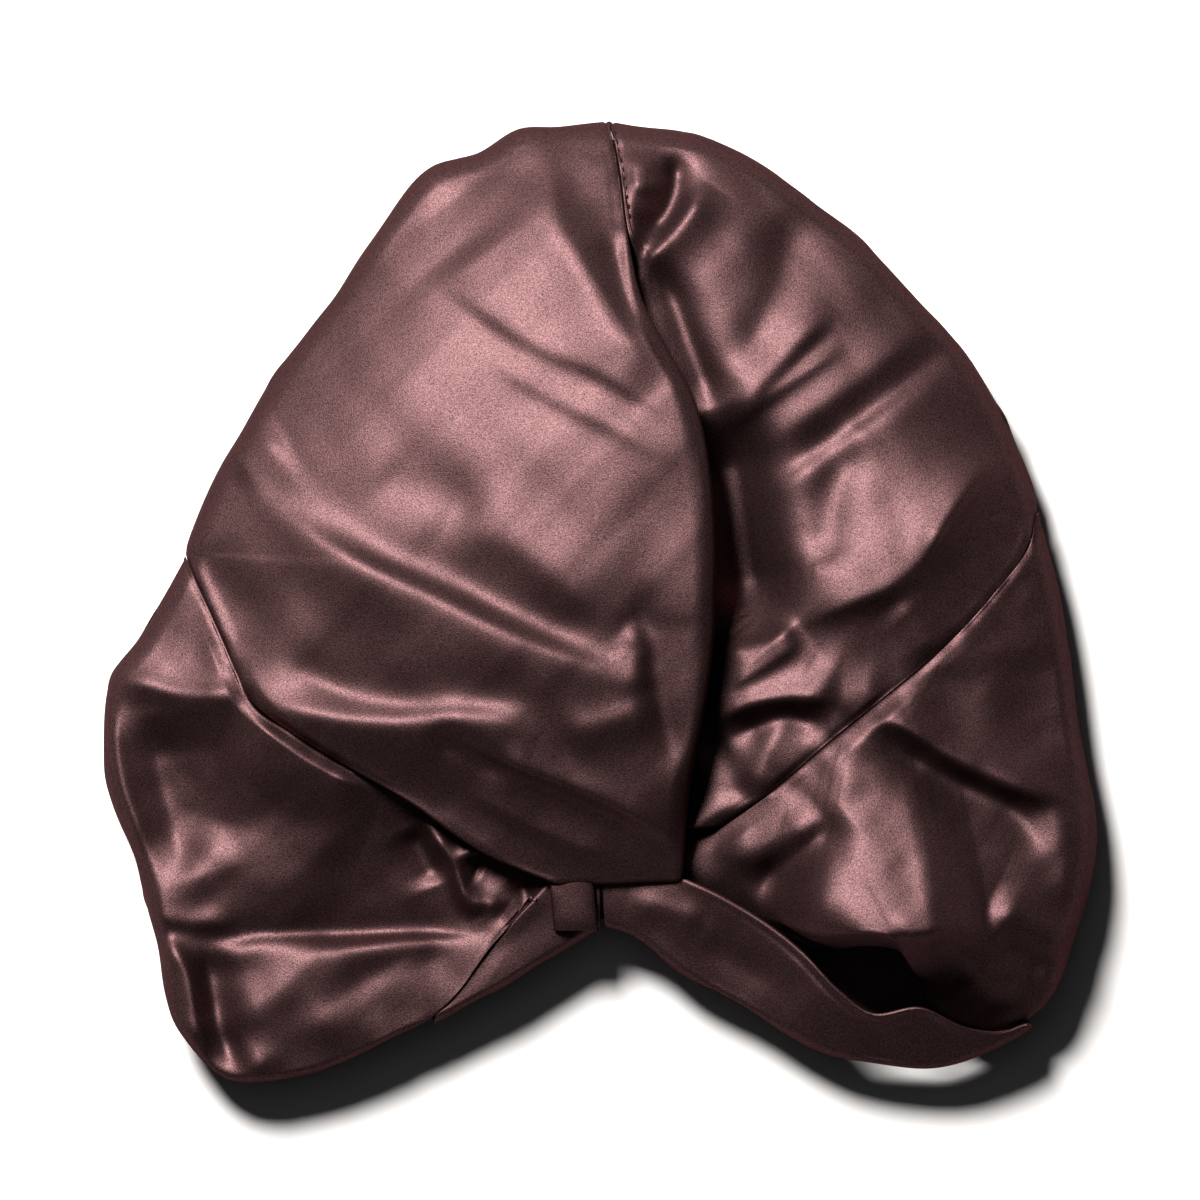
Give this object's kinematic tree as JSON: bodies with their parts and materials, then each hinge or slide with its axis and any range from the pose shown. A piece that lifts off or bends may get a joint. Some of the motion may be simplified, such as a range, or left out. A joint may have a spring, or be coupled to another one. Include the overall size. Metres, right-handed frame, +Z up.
{
  "type": "satin sleep bonnet",
  "caption": "Soft satin sleep bonnet with a twisted front, lying empty on its back, with folded crown panels, side bands and an open front hem for the head.",
  "frame": {"origin": "on the surface that the bonnet lies on, under the middle of its outline", "axes": "+Z up from the surface through the front of the bonnet, +Y from the head opening to the top of the crown, +X to the right seen from above"},
  "size_m": [0.3016, 0.2922, 0.071],
  "materials": {
    "satin": "satin"
  },
  "bodies": {
    "root": {"crown_left": "satin", "crown_right": "satin", "band_left": "satin", "band_right": "satin", "hem_right": "satin", "hem_left": "satin", "crown_back": "satin", "band_back": "satin"}
  },
  "joints": []
}
